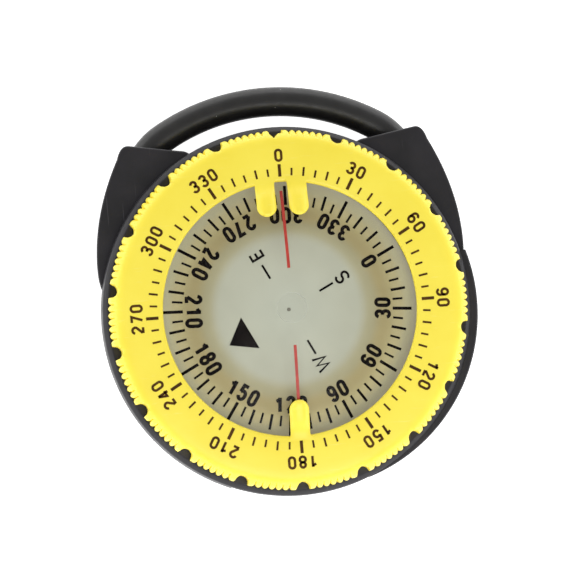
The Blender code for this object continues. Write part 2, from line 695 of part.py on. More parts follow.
def make_detent():
    plunger = [
        (0.0, PLUNGER_FOOT_Z), (PLUNGER_R, PLUNGER_FOOT_Z), (PLUNGER_R, PLUNGER_TIP_Z - 0.5),
        (PLUNGER_R * 0.5, PLUNGER_TIP_Z), (0.0, PLUNGER_TIP_Z),
    ]
    turned("detent_plunger", plunger, STEEL, 16, (DETENT_R, 0.0))
    low = DETENT_POCKET_Z + CLEARANCE + SPRING_WIRE_R
    high = PLUNGER_FOOT_Z - CLEARANCE - SPRING_WIRE_R
    steps = 9 * SPRING_TURNS
    bm = bmesh.new()
    circle = bmesh.ops.create_circle(bm, cap_ends=False, radius=SPRING_WIRE_R * MM, segments=6)
    upright = Matrix.Rotation(math.radians(90.0), 3, "X")
    bmesh.ops.rotate(bm, verts=circle["verts"], cent=(0, 0, 0), matrix=upright)
    start = Vector((DETENT_R + SPRING_R, 0.0, low)) * MM
    bmesh.ops.translate(bm, verts=circle["verts"], vec=start)
    ring = list(bm.edges)
    bmesh.ops.contextual_create(bm, geom=ring)
    swept = bmesh.ops.spin(
        bm, geom=circle["verts"] + ring, cent=(DETENT_R * MM, 0, 0), axis=(0, 0, 1),
        dvec=(0, 0, (high - low) * MM / steps), angle=math.tau * SPRING_TURNS, steps=steps,
        use_duplicate=False,
    )
    last = [item for item in swept["geom_last"] if isinstance(item, bmesh.types.BMEdge)]
    bmesh.ops.contextual_create(bm, geom=last)
    add_object("detent_spring", bm, STEEL)


def main():
    remove_old_objects()
    make_housing()
    make_window()
    make_back_cover()
    make_back_screws()
    make_snap_ring()
    make_loop()
    make_capsule_dome()
    make_capsule_bowl()
    make_capsule_seals()
    make_diaphragm()
    make_pivot()
    make_jewel()
    make_card()
    make_magnets()
    make_bezel()
    make_detent()


main()
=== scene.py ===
# %% [markdown]
# # A bearing compass, dressed on its CAD frame
# The part is a small liquid-filled compass for the hand or the wrist: a black plastic housing with a
# thick rubber loop, a yellow ring that clicks round to mark a course, and a card that floats under a
# clear dome. The CAD model gives every body, axis and size. This lesson gives the same parts their
# finished shapes, print and materials. The first step loads the frame. The finished pieces have to
# stay inside it.

# %% Load the frame
import math

import bmesh
import bpy
from mathutils import Matrix, Vector


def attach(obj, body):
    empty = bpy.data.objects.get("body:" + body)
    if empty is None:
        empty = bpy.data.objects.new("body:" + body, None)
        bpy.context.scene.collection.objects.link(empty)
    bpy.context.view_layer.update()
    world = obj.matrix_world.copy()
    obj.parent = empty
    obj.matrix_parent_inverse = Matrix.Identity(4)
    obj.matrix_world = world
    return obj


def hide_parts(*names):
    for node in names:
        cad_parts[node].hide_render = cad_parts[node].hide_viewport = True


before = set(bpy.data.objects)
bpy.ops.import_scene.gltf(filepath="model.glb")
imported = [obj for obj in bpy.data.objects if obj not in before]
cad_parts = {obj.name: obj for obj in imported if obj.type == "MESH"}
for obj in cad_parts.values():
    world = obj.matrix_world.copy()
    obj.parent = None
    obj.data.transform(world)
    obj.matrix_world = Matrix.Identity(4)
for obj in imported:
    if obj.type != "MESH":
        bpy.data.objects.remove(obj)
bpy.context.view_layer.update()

# %% [markdown]
# ## Tools for shapes
# Nearly every part of a compass is turned: the outline is drawn once beside the axis and spun round
# it. The rest are plan outlines pushed up to a height. Working in millimetres keeps the numbers
# readable, so each shape is scaled to metres only when it is finished. The same last step welds it,
# points its faces outwards and keeps the real edges sharp under smooth shading.

# %% Units and clock angles
MM = 0.001
SHARP_DEG = 38.0


def clock_point(radius, degrees, height=0.0):
    """A point at a clock angle: 0 at +Y, where the loop is, and 90 at +X."""
    angle = math.radians(degrees)
    return Vector((radius * math.sin(angle), radius * math.cos(angle), height))


# %% Turn an outline about the axis
def turned(profile, steps, closed=True):
    """A solid of revolution about Z from an outline of (radius, height) points."""
    bm = bmesh.new()
    corners = [bm.verts.new((radius, 0.0, height)) for radius, height in profile]
    pairs = list(zip(corners, corners[1:] + corners[:1]))
    if not closed:
        pairs.pop()
    edges = [bm.edges.new(pair) for pair in pairs if max(pair[0].co.x, pair[1].co.x) > 1e-6]
    bmesh.ops.spin(
        bm, geom=corners + edges, cent=(0, 0, 0), axis=(0, 0, 1), dvec=(0, 0, 0),
        angle=math.tau, steps=steps, use_merge=True, use_duplicate=False,
    )
    bmesh.ops.remove_doubles(bm, verts=bm.verts, dist=1e-4)
    return bm


# %% Sweep an outline part of the way round
def arc_of_ring(profile, middle_deg, half_deg, steps):
    """Part of a turned ring with closed ends, either side of a clock angle."""
    bm = bmesh.new()
    corners = [bm.verts.new((0.0, radius, height)) for radius, height in profile]
    edges = [bm.edges.new(pair) for pair in zip(corners, corners[1:] + corners[:1])]
    turn = Matrix.Rotation(math.radians(half_deg - middle_deg), 3, "Z")
    bmesh.ops.rotate(bm, verts=corners, cent=(0, 0, 0), matrix=turn)
    swept = bmesh.ops.spin(
        bm, geom=corners + edges, cent=(0, 0, 0), axis=(0, 0, 1), dvec=(0, 0, 0),
        angle=math.radians(-2.0 * half_deg), steps=steps, use_duplicate=False,
    )
    last = [item for item in swept["geom_last"] if isinstance(item, bmesh.types.BMEdge)]
    bmesh.ops.contextual_create(bm, geom=edges)
    bmesh.ops.contextual_create(bm, geom=last)
    return bm


# %% Push a plan outline up to a height
def raised(outline, low, high):
    """A plan outline of (x, y) points as a solid between two heights."""
    bm = bmesh.new()
    face = bm.faces.new([bm.verts.new((x, y, low)) for x, y in outline])
    pushed = bmesh.ops.extrude_face_region(bm, geom=[face])
    top = [item for item in pushed["geom"] if isinstance(item, bmesh.types.BMVert)]
    bmesh.ops.translate(bm, verts=top, vec=(0.0, 0.0, high - low))
    bmesh.ops.recalc_face_normals(bm, faces=bm.faces)
    return bm


# %% Finish a shape as a piece
def shade(bm, sharp_deg=SHARP_DEG):
    """Smooth faces, with a hard line kept wherever two faces meet at more than sharp_deg."""
    for face in bm.faces:
        face.smooth = True
    for edge in bm.edges:
        bent = len(edge.link_faces) != 2 or edge.calc_face_angle(0.0) > math.radians(sharp_deg)
        edge.smooth = not bent


def as_object(name, bm):
    """Welds the shape, points its faces outwards, scales it to metres and makes its object."""
    bmesh.ops.remove_doubles(bm, verts=bm.verts, dist=1e-4)
    bmesh.ops.dissolve_degenerate(bm, edges=bm.edges, dist=1e-5)
    bmesh.ops.recalc_face_normals(bm, faces=bm.faces)
    bmesh.ops.scale(bm, verts=bm.verts, vec=(MM, MM, MM))
    shade(bm)
    mesh = bpy.data.meshes.new(name)
    bm.to_mesh(mesh)
    bm.free()
    piece = bpy.data.objects.new(name, mesh)
    bpy.context.scene.collection.objects.link(piece)
    return piece


def fit(piece, finish, body, stands_for=()):
    """Gives a piece its material, ties it to its body and hides the CAD nodes that it stands for."""
    piece.data.materials.clear()
    piece.data.materials.append(finish)
    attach(piece, body)
    if stands_for:
        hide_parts(*stands_for)
    size = [round(length / MM, 1) for length in piece.dimensions]
    print(f"{piece.name}: {len(piece.data.polygons)} faces, {size} mm, on {body}")
    return piece


# %% Join and cut solids
def combine(piece, tool, operation):
    """Joins a tool to a piece or cuts it away, and keeps only the result."""
    boolean = piece.modifiers.new(operation, "BOOLEAN")
    boolean.operation = operation
    boolean.solver = "EXACT"
    boolean.object = tool
    graph = bpy.context.evaluated_depsgraph_get()
    result = bpy.data.meshes.new_from_object(piece.evaluated_get(graph))
    piece.modifiers.clear()
    piece.data = result
    bpy.data.objects.remove(tool)


def reshade(piece, sharp_deg=SHARP_DEG):
    """Welds a cut piece again and marks its sharp edges."""
    bm = bmesh.new()
    bm.from_mesh(piece.data)
    bmesh.ops.remove_doubles(bm, verts=bm.verts, dist=1e-6)
    bmesh.ops.dissolve_degenerate(bm, edges=bm.edges, dist=1e-7)
    shade(bm, sharp_deg)
    bm.to_mesh(piece.data)
    bm.free()


# %% [markdown]
# ## Camera, light and floor
# The compass lies on its back and is looked at almost straight down, with the loop away from the
# viewer and the whole thing turned a few degrees. A long lens keeps the ring round. The light is a
# white room that is brightest low down, all round, as in a light tent. A level black face then looks
# up at the dim roof and stays dark, while a chamfer looks at the bright side and turns grey. One soft
# panel on the viewer's side puts a pale sheen on the near half of the yellow ring.

# %% Camera
VIEW_AZIMUTH_DEG = -58.0
VIEW_ELEVATION_DEG = 83.0
VIEW_ROLL_DEG = 53.6
VIEW_DISTANCE_MM = 800.0
LENS_MM = 248.0
AIM_MM = Vector((0.54, 4.55, 20.0))


def direction(azimuth_deg, elevation_deg):
    """Unit vector towards an azimuth (0 at -Y, 90 at +X) and an elevation."""
    azimuth = math.radians(azimuth_deg)
    elevation = math.radians(elevation_deg)
    level = math.cos(elevation)
    return Vector((math.sin(azimuth) * level, -math.cos(azimuth) * level, math.sin(elevation)))


backward = direction(VIEW_AZIMUTH_DEG, VIEW_ELEVATION_DEG)
level_right = direction(VIEW_AZIMUTH_DEG + 90.0, 0.0)
roll = Matrix.Rotation(math.radians(VIEW_ROLL_DEG), 3, backward)
rightward = roll @ level_right
upward = backward.cross(rightward)
camera = bpy.data.objects.new("camera", bpy.data.cameras.new("camera"))
camera.data.lens = LENS_MM
camera.data.clip_start = 0.01
place = Matrix((rightward, upward, backward)).transposed().to_4x4()
place.translation = (AIM_MM + backward * VIEW_DISTANCE_MM) * MM
camera.matrix_world = place
bpy.context.scene.collection.objects.link(camera)
bpy.context.scene.camera = camera
print("camera stands at", [round(value, 3) for value in place.translation])

# %% Light
ROOF_GLOW = 0.60
SIDE_GLOW = 3.0
SIDE_TOP = 0.10
ROOF_FROM = 0.42
room = bpy.data.worlds.new("white_room")
room.use_nodes = True
sky = room.node_tree
direction_node = sky.nodes.new("ShaderNodeTexCoord")
split = sky.nodes.new("ShaderNodeSeparateXYZ")
glow = sky.nodes.new("ShaderNodeMapRange")
glow.interpolation_type = "SMOOTHSTEP"
for label, value in (
    ("From Min", SIDE_TOP), ("From Max", ROOF_FROM), ("To Min", SIDE_GLOW), ("To Max", ROOF_GLOW),
):
    glow.inputs[label].default_value = value
sky.links.new(direction_node.outputs["Generated"], split.inputs["Vector"])
sky.links.new(split.outputs["Z"], glow.inputs["Value"])
sky.links.new(glow.outputs["Result"], sky.nodes["Background"].inputs["Strength"])
sky.nodes["Background"].inputs["Color"].default_value = (1.0, 1.0, 1.0, 1.0)
bpy.context.scene.world = room
bpy.context.scene.view_settings.view_transform = "Standard"


def soft_panel(name, azimuth_deg, elevation_deg, distance, size, watts):
    """A square area light that faces the compass."""
    panel = bpy.data.objects.new(name, bpy.data.lights.new(name, "AREA"))
    panel.data.size = size
    panel.data.energy = watts
    away = direction(azimuth_deg, elevation_deg)
    panel.matrix_world = (
        Matrix.Translation(away * distance) @ away.to_track_quat("Z", "Y").to_matrix().to_4x4()
    )
    bpy.context.scene.collection.objects.link(panel)
    print(f"{name}: {watts} W from azimuth {azimuth_deg}, elevation {elevation_deg}")


soft_panel("near_panel", 5.0, 66.0, 0.28, 0.16, 0.22)

# %% Floor
FLOOR_DROP = 0.02
floor_bm = bmesh.new()
bmesh.ops.create_grid(floor_bm, x_segments=1, y_segments=1, size=2000.0)
bmesh.ops.translate(floor_bm, verts=floor_bm.verts, vec=(0.0, 0.0, -FLOOR_DROP))
floor = as_object("floor", floor_bm)

# %% [markdown]
# ## Tools for finishes
# A moulded surface is never one flat colour. The pigment varies a little in patches, the mould
# leaves a fine grain, and handling polishes some places. Three noises at three sizes give these:
# one mixes two close colours, one moves the roughness, and the finest lifts a bump. All of them
# read Object coordinates, so the pattern stays on the piece wherever it moves.

# %% Add and wire nodes
def add_node(tree, kind, **values):
    """A shader node, with settings and input values given by name."""
    node = tree.nodes.new("ShaderNode" + kind)
    for name, value in values.items():
        label = name.replace("_", " ")
        if label in node.inputs:
            node.inputs[label].default_value = value
        else:
            setattr(node, name, value)
    return node


def wire(tree, output, target):
    """Links an output socket to an input socket."""
    tree.links.new(output, target)


def rgb(red, green, blue):
    """A display colour from 0 to 255 as the linear colour that a shader takes."""
    linear = []
    for value in (red, green, blue):
        part = value / 255.0
        linear.append(part / 12.92 if part <= 0.04045 else ((part + 0.055) / 1.055) ** 2.4)
    return (*linear, 1.0)


def ramp(tree, source, stops, interpolation="LINEAR"):
    """A colour ramp from (place, colour) stops."""
    node = add_node(tree, "ValToRGB")
    node.color_ramp.interpolation = interpolation
    elements = node.color_ramp.elements
    while len(elements) < len(stops):
        elements.new(0.5)
    for element, (spot, colour) in zip(elements, stops):
        element.position = spot
        element.color = colour
    wire(tree, source, node.inputs["Fac"])
    return node.outputs["Color"]


# %% A moulded finish
def noise(tree, size_mm, detail=3.0, stretch=(1.0, 1.0, 1.0)):
    """Noise whose blobs are about size_mm across, on the piece's own coordinates."""
    where = add_node(tree, "TexCoord")
    squeeze = add_node(tree, "Mapping")
    squeeze.inputs["Scale"].default_value = [1.0 / length for length in stretch]
    pattern = add_node(tree, "TexNoise", Scale=1.0 / (size_mm * MM), Detail=detail)
    wire(tree, where.outputs["Object"], squeeze.inputs["Vector"])
    wire(tree, squeeze.outputs["Vector"], pattern.inputs["Vector"])
    return pattern.outputs["Fac"]


def spread(tree, source, low, high, from_low=0.3, from_high=0.7):
    """Maps the middle of a noise's range onto low to high."""
    node = add_node(tree, "MapRange")
    for label, value in (
        ("From Min", from_low), ("From Max", from_high), ("To Min", low), ("To Max", high),
    ):
        node.inputs[label].default_value = value
    wire(tree, source, node.inputs["Value"])
    return node.outputs["Result"]


def mix_colours(tree, amount, first, second):
    """One colour over another; each may be a colour or the output of a node."""
    node = add_node(tree, "Mix", data_type="RGBA")
    wire(tree, amount, node.inputs[0])
    for socket, colour in ((node.inputs[6], first), (node.inputs[7], second)):
        if isinstance(colour, bpy.types.NodeSocket):
            wire(tree, colour, socket)
        else:
            socket.default_value = colour
    return node.outputs[2]


def moulded(name, deep, pale, patch_mm, rough, grain_mm, grain_depth_mm, metallic=0.0, ior=1.5):
    """A material with patchy colour, varied roughness and a fine bump."""
    finish = bpy.data.materials.new(name)
    finish.use_nodes = True
    tree = finish.node_tree
    shader = tree.nodes["Principled BSDF"]
    shader.inputs["Metallic"].default_value = metallic
    shader.inputs["IOR"].default_value = ior
    patches = ramp(tree, noise(tree, patch_mm), ((0.32, deep), (0.68, pale)))
    wire(tree, patches, shader.inputs["Base Color"])
    wire(tree, spread(tree, noise(tree, patch_mm * 0.37), *rough), shader.inputs["Roughness"])
    bump = add_node(tree, "Bump", Strength=1.0, Distance=grain_depth_mm * MM)
    wire(tree, noise(tree, grain_mm, 4.0), bump.inputs["Height"])
    wire(tree, bump.outputs["Normal"], shader.inputs["Normal"])
    return finish


def colour_of(finish):
    """The shader, its tree, and the socket that now feeds the base colour."""
    tree = finish.node_tree
    shader = tree.nodes["Principled BSDF"]
    return tree, shader, shader.inputs["Base Color"].links[0].from_socket


# %% Floor finish
FLOOR_GLOW = 0.8
floor_finish = moulded(
    "floor_paper", rgb(248, 248, 248), rgb(252, 252, 252), 60.0, (0.8, 0.9), 2.0, 0.01,
)
tree, shader, colour = colour_of(floor_finish)
shader.inputs["Emission Color"].default_value = (1.0, 1.0, 1.0, 1.0)
shader.inputs["Emission Strength"].default_value = FLOOR_GLOW
from_below = add_node(tree, "NewGeometry")
unseen = add_node(tree, "BsdfTransparent")
blend = add_node(tree, "MixShader")
wire(tree, from_below.outputs["Backfacing"], blend.inputs[0])
wire(tree, shader.outputs["BSDF"], blend.inputs[1])
wire(tree, unseen.outputs["BSDF"], blend.inputs[2])
wire(tree, blend.outputs["Shader"], tree.nodes["Material Output"].inputs["Surface"])
floor.data.materials.append(floor_finish)

# %% [markdown]
# ## Yellow plastic and its print
# The ring is moulded in one bright yellow with a satin skin. Its numbers are pad-printed in a thin
# brown-black ink, which lets a little yellow through where the film is thin. So the ink is a piece
# of its own, a few hundredths of a millimetre thick, and its colour drifts between two browns. The
# card's print lies in liquid, which leaves it almost no gloss, so its index is close to one.

# %% Yellow ring finish
yellow_plastic = moulded(
    "yellow_plastic", rgb(247, 226, 66), rgb(251, 232, 76), 9.0, (0.34, 0.42), 0.6, 0.004,
)
tree, shader, colour = colour_of(yellow_plastic)
scuffs = spread(tree, noise(tree, 0.5, 6.0, (9.0, 1.0, 3.0)), 0.0, 0.16, 0.62, 0.74)
wire(tree, mix_colours(tree, scuffs, colour, rgb(255, 248, 170)), shader.inputs["Base Color"])

# %% Inks
WET_IOR = 1.1
MATT_IOR = 1.25
brown_ink = moulded(
    "brown_ink", rgb(56, 32, 4), rgb(86, 56, 8), 2.2, (0.38, 0.5), 0.25, 0.004, 0.0, MATT_IOR,
)
card_ink = moulded(
    "card_ink", rgb(14, 11, 12), rgb(30, 25, 24), 2.6, (0.45, 0.6), 0.25, 0.004, 0.0, WET_IOR,
)
grey_ink = moulded("grey_ink", rgb(112, 110, 98), rgb(134, 132, 118), 0.4, (0.45, 0.6), 0.25, 0.004)
red_ink = moulded("red_ink", rgb(164, 38, 28), rgb(188, 58, 44), 2.0, (0.35, 0.5), 0.25, 0.004)

# %% [markdown]
# ## The turning ring
# The ring's section is a flat plate with a rounded shoulder and a deep skirt, so it is turned. Its
# edge is milled with small round teeth, nine pitches to every twenty degrees, with a deep thumb notch
# in place of two of them. Spinning in ten steps to a tooth gives the rim enough points to be pushed
# in to that shape, while the plate stays flat. The tooth beside a notch is full on that side, and the
# notch at the zero mark is shallow.

# %% Ring sizes
RING_TOP = 27.0
RING_INNER_R = 25.5
NOTCH_EVERY_DEG = 20.0
PITCHES_PER_NOTCH = 9.0
TOOTH_PITCH_DEG = NOTCH_EVERY_DEG / PITCHES_PER_NOTCH
TEETH_ROUND = 162
STEPS_PER_TOOTH = 10
TOOTH_DEPTH = 0.72
TOOTH_FULLNESS = 0.65
TEETH_FROM_R = 34.8
TEETH_BLEND = 1.2
PLATE_R = 34.0
NOTCH_CENTRE_R = 36.0
NOTCH_R = 1.4
ZERO_NOTCH_R = 35.35
ZERO_NOTCH_DEPTH = 0.95
ZERO_NOTCH_WIDTH = 0.55
ZERO_NOTCH_SHIFT = 0.5
ring_profile = (
    (30.95, 26.2), (30.95, 24.6), (31.65, 24.6), (31.65, 23.4), (30.95, 23.4), (30.95, 22.5),
    (33.6, 22.5), (33.6, 21.9), (35.8, 21.9), (36.2, 22.3), (36.2, 23.0), (36.2, 23.7),
    (36.05, 24.5), (35.75, 25.2), (35.35, 25.8), (34.85, 26.3), (34.3, 26.65), (33.7, 26.87),
    (33.0, 26.97), (32.2, RING_TOP), (26.2, RING_TOP), (25.9, 26.95), (25.65, 26.8),
    (RING_INNER_R, 26.55), (RING_INNER_R, 26.2),
)


# %% Milled edge
def eased(share):
    """A share held between 0 and 1, with a soft start and end."""
    share = min(max(share, 0.0), 1.0)
    return share * share * (3.0 - 2.0 * share)


def notch_floor(offset_mm, shallow):
    """Radius of a thumb notch's wall at a distance along the rim from the notch's middle."""
    if shallow:
        from_middle = (offset_mm + ZERO_NOTCH_SHIFT) / ZERO_NOTCH_WIDTH
        return ZERO_NOTCH_R - ZERO_NOTCH_DEPTH * math.exp(-(from_middle**2))
    return NOTCH_CENTRE_R - math.sqrt(max(NOTCH_R**2 - offset_mm**2, 0.0))


def milled_radius(radius, clock_deg):
    """Where a point of the plain rim goes once the teeth and notches are cut."""
    pitches = (clock_deg / TOOTH_PITCH_DEG) % PITCHES_PER_NOTCH
    if 1.0 <= pitches <= PITCHES_PER_NOTCH - 1.0:
        beside_notch = pitches < 1.5 or pitches > PITCHES_PER_NOTCH - 1.5
        wave = abs(math.sin(math.pi * (pitches - 1.0)))
        fullness = 1.0 if beside_notch else wave**TOOTH_FULLNESS
        return radius - TOOTH_DEPTH * (1.0 - fullness) * eased((radius - TEETH_FROM_R) / TEETH_BLEND)
    away = pitches if pitches < 1.0 else pitches - PITCHES_PER_NOTCH
    offset = NOTCH_CENTRE_R * math.radians(away * TOOTH_PITCH_DEG)
    at_zero = (clock_deg + NOTCH_EVERY_DEG / 2.0) % 360.0 < NOTCH_EVERY_DEG
    return min(radius, notch_floor(offset, at_zero))


ring_bm = turned(ring_profile, TEETH_ROUND * STEPS_PER_TOOTH)
for vert in ring_bm.verts:
    radius = math.hypot(vert.co.x, vert.co.y)
    if radius > PLATE_R:
        clock_deg = math.degrees(math.atan2(vert.co.x, vert.co.y)) % 360.0
        grow = milled_radius(radius, clock_deg) / radius
        vert.co.x *= grow
        vert.co.y *= grow
bezel_ring = as_object("bezel_ring", ring_bm)
fit(bezel_ring, yellow_plastic, "bezel", ["bezel"])

# %% [markdown]
# ## The three fingers
# Two fingers frame the top of the sighting line and one covers its foot. Each is a crowned bar with
# a round end that leaves the ring flush and rides up over the dome. A grid is the easiest start: one
# direction runs along the finger and the other across it, each point is dropped onto the plan and
# the crown, and the sheet is then given its thickness.

# %% Dome and fingers
DOME_TOP = 30.3
DOME_SPHERE_R = 74.5
FINGER_HALF_WIDTH = 1.95
FINGER_THICKNESS = 1.25
FINGER_ROOT = 26.4
FINGER_CROWN = 0.9
ROUND_SHARE = 0.4
FILLET_FROM, FILLET_LENGTH, FILLET_WIDTH = 24.9, 1.5, 0.7
FINGER_RISE = 4.0
DOME_GAP = 0.45
LOWEST_UNDERSIDE = 26.3


def dome_height(radius, sphere_r=DOME_SPHERE_R):
    """Height of the dome's outside, or of its inside for the smaller sphere."""
    return DOME_TOP - DOME_SPHERE_R + math.sqrt(sphere_r**2 - radius**2)


def plan_key(vert):
    """The same key for a point of the sheet and for its copy above or below."""
    return round(vert.co.x, 5), round(vert.co.y, 5)


def finger(name, middle_x, tip_y, side):
    """A finger whose tip is tip_y from the axis, on the loop's side (1) or the near side (-1)."""
    bm = bmesh.new()
    bmesh.ops.create_grid(bm, x_segments=20, y_segments=44, size=1.0)
    straight = tip_y + FINGER_HALF_WIDTH
    drop_at = {}
    for vert in bm.verts:
        lengthwise = (vert.co.y + 1.0) / 2.0
        turn = min(lengthwise / ROUND_SHARE, 1.0) * math.pi / 2.0
        y = tip_y + FINGER_HALF_WIDTH * (1.0 - math.cos(turn))
        if lengthwise > ROUND_SHARE:
            along = (lengthwise - ROUND_SHARE) / (1.0 - ROUND_SHARE)
            y = straight + (FINGER_ROOT - straight) * along
        fillet = max(0.0, (y - FILLET_FROM) / FILLET_LENGTH)
        width = FINGER_HALF_WIDTH * max(math.sin(turn), 0.05) + FILLET_WIDTH * fillet * fillet
        drop = max(abs(vert.co.x) ** 2.6, (1.0 - math.sin(turn)) ** 1.6)
        vert.co.x = middle_x + vert.co.x * width
        vert.co.y = y
        drop_at[plan_key(vert)] = drop
    pushed = bmesh.ops.extrude_face_region(bm, geom=list(bm.faces))
    top = {item for item in pushed["geom"] if isinstance(item, bmesh.types.BMVert)}
    for vert in bm.verts:
        radius = math.hypot(vert.co.x, vert.co.y)
        low = max(dome_height(min(radius, RING_INNER_R - 0.1)) + DOME_GAP, LOWEST_UNDERSIDE)
        rise = eased((FINGER_ROOT - radius) / FINGER_RISE)
        high = RING_TOP + 0.02 + (low + FINGER_THICKNESS - RING_TOP) * rise
        vert.co.z = high - FINGER_CROWN * drop_at[plan_key(vert)] * rise if vert in top else low - 0.05
    for vert in bm.verts:
        vert.co.y *= side
    return fit(as_object(name, bm), yellow_plastic, "bezel")


finger("bezel_finger_left", -3.25, 18.5, 1)
finger("bezel_finger_right", 3.25, 18.5, 1)
finger("bezel_finger_foot", 0.0, 18.4, -1)

# %% [markdown]
# ## Drawing numbers with a pen
# The dial uses a narrow sign-writer's alphabet: even strokes, straight sides and round ends. A text
# object would bring a wide typeface with the wrong figures, so each figure is drawn here as it would
# be engraved. A nib, which is one short edge, is pushed along each stroke. Every figure lives in
# a box one unit wide and one high, and is then set at its own size, place and turn on the surface.

# %% Strokes of the figures
def sweep(x, y, reach_x, reach_y, start_deg, end_deg):
    """Points along part of an ellipse, counted anticlockwise from its right-hand side."""
    steps = max(int(abs(end_deg - start_deg) / 15.0), 2)
    points = []
    for index in range(steps + 1):
        angle = math.radians(start_deg + (end_deg - start_deg) * index / steps)
        points.append((x + reach_x * math.cos(angle), y + reach_y * math.sin(angle)))
    return points


SIX = [
    sweep(0.5, 0.29, 0.5, 0.29, 180, -180),
    [(0.0, 0.27), (0.0, 0.6)] + sweep(0.5, 0.72, 0.5, 0.28, 180, 22),
]
STROKES = {
    "0": [
        sweep(0.5, 0.74, 0.5, 0.26, 0, 180) + sweep(0.5, 0.26, 0.5, 0.26, 180, 360) + [(1.0, 0.74)],
    ],
    "1": [[(0.66, 0.0), (0.66, 1.0)], [(0.66, 0.96), (0.5, 0.83), (0.08, 0.74)]],
    "2": [sweep(0.5, 0.73, 0.5, 0.27, 172, -28) + [(0.04, 0.06)], [(0.0, 0.0), (1.0, 0.0)]],
    "3": [
        sweep(0.5, 0.76, 0.46, 0.24, 165, -90) + [(0.36, 0.52)],
        [(0.42, 0.52)] + sweep(0.5, 0.26, 0.5, 0.26, 90, -165),
    ],
    "4": [[(0.7, 1.0), (0.04, 0.26), (1.04, 0.26)], [(0.72, 0.0), (0.72, 1.0)]],
    "5": [
        [(0.92, 1.0), (0.14, 1.0), (0.06, 0.5)],
        [(0.06, 0.52)] + sweep(0.49, 0.31, 0.51, 0.31, 128, -162),
    ],
    "6": SIX,
    "7": [[(0.0, 1.0), (0.98, 1.0), (0.34, 0.0)]],
    "8": [sweep(0.5, 0.76, 0.44, 0.24, 0, 360), sweep(0.5, 0.26, 0.5, 0.26, 0, 360)],
    "9": [[(1.0 - x, 1.0 - y) for x, y in stroke] for stroke in SIX],
    "E": [[(1.0, 1.0), (0.0, 1.0), (0.0, 0.0), (1.0, 0.0)], [(0.0, 0.52), (0.88, 0.52)]],
    "S": [sweep(0.5, 0.74, 0.46, 0.26, 28, 262) + sweep(0.5, 0.25, 0.5, 0.25, 80, -155)],
    "W": [[(0.0, 1.0), (0.24, 0.0), (0.5, 0.9), (0.76, 0.0), (1.0, 1.0)]],
}


# %% Push the nib along a stroke
MITRE_LIMIT = 1.7


def pen_stroke(bm, path, nib):
    """A flat ribbon nib wide along a path; each new edge is pushed on from the one before."""
    path = [Vector((x, y)) for x, y in path]
    points = path[:1]
    points += [here for last, here in zip(path, path[1:]) if (here - last).length > 1e-4]
    loop = (points[0] - points[-1]).length < 1e-4
    left = right = None
    for index, point in enumerate(points):
        before = points[index - 1] if index else points[-2] if loop else None
        after = points[index + 1] if index + 1 < len(points) else points[1] if loop else None
        ahead = (after - point).normalized() if after else (point - before).normalized()
        behind = (point - before).normalized() if before else ahead
        heading = (ahead + behind).normalized()
        reach = min(1.0 / max(heading.dot(ahead), 0.1), MITRE_LIMIT) * nib / 2.0
        side = Vector((-heading.y, heading.x)) * reach
        ends = ((*(point + side), 0.0), (*(point - side), 0.0))
        if left is None:
            left, right = (bm.verts.new(end) for end in ends)
            bm.edges.new((left, right))
            continue
        grown = bmesh.ops.extrude_edge_only(bm, edges=[bm.edges.get((left, right))])["geom"]
        fresh = [item for item in grown if isinstance(item, bmesh.types.BMVert)]
        if not bm.edges.get((left, fresh[0])):
            fresh.reverse()
        left, right = fresh
        left.co, right.co = ends


# %% Set figures on a surface
INK = 0.04


def draw(bm, text, height, width, gap, nib, centre, up_deg):
    """Draws text centred on a point, its tops towards the clock angle up_deg."""
    up = clock_point(1.0, up_deg)
    right = clock_point(1.0, up_deg + 90.0)
    advance = width + gap
    start = -(len(text) - 1) * advance / 2.0
    for index, figure in enumerate(text):
        glyph = bmesh.new()
        for stroke in STROKES[figure]:
            box = (width - nib, height - nib)
            pen_stroke(glyph, [(x * box[0], y * box[1]) for x, y in stroke], nib)
        shift = Vector((start + index * advance - (width - nib) / 2.0, -(height - nib) / 2.0, 0.0))
        bmesh.ops.translate(glyph, verts=glyph.verts, vec=shift)
        for vert in glyph.verts:
            spot = centre + right * vert.co.x + up * vert.co.y
            vert.co = (spot.x, spot.y, 0.0)
        kept = bpy.data.meshes.new("glyph")
        glyph.to_mesh(kept)
        glyph.free()
        bm.from_mesh(kept)
        bpy.data.meshes.remove(kept)


def bar(bm, inner_r, outer_r, width, degrees):
    """A tick: a short straight mark that points at the axis."""
    inner = clock_point(inner_r, degrees)
    outer = clock_point(outer_r, degrees)
    pen_stroke(bm, [inner.xy, (inner.xy + outer.xy) / 2.0, outer.xy], width)


def print_on(name, bm, height_at, finish, body, ink=INK):
    """Gives flat artwork its film of ink, then lays it on a surface given by height_at(radius)."""
    bmesh.ops.remove_doubles(bm, verts=bm.verts, dist=1e-4)
    pushed = bmesh.ops.extrude_face_region(bm, geom=list(bm.faces))
    top = {item for item in pushed["geom"] if isinstance(item, bmesh.types.BMVert)}
    for vert in bm.verts:
        surface = height_at(math.hypot(vert.co.x, vert.co.y))
        vert.co.z = surface + (ink if vert in top else -ink / 2.0)
    return fit(as_object(name, bm), finish, body)


# %% [markdown]
# ## Print on the ring
# A mark every five degrees, longer at each ten and heavier at each thirty, and a number at each
# thirty with its top outwards. All of it is one film of ink on the flat of the ring.

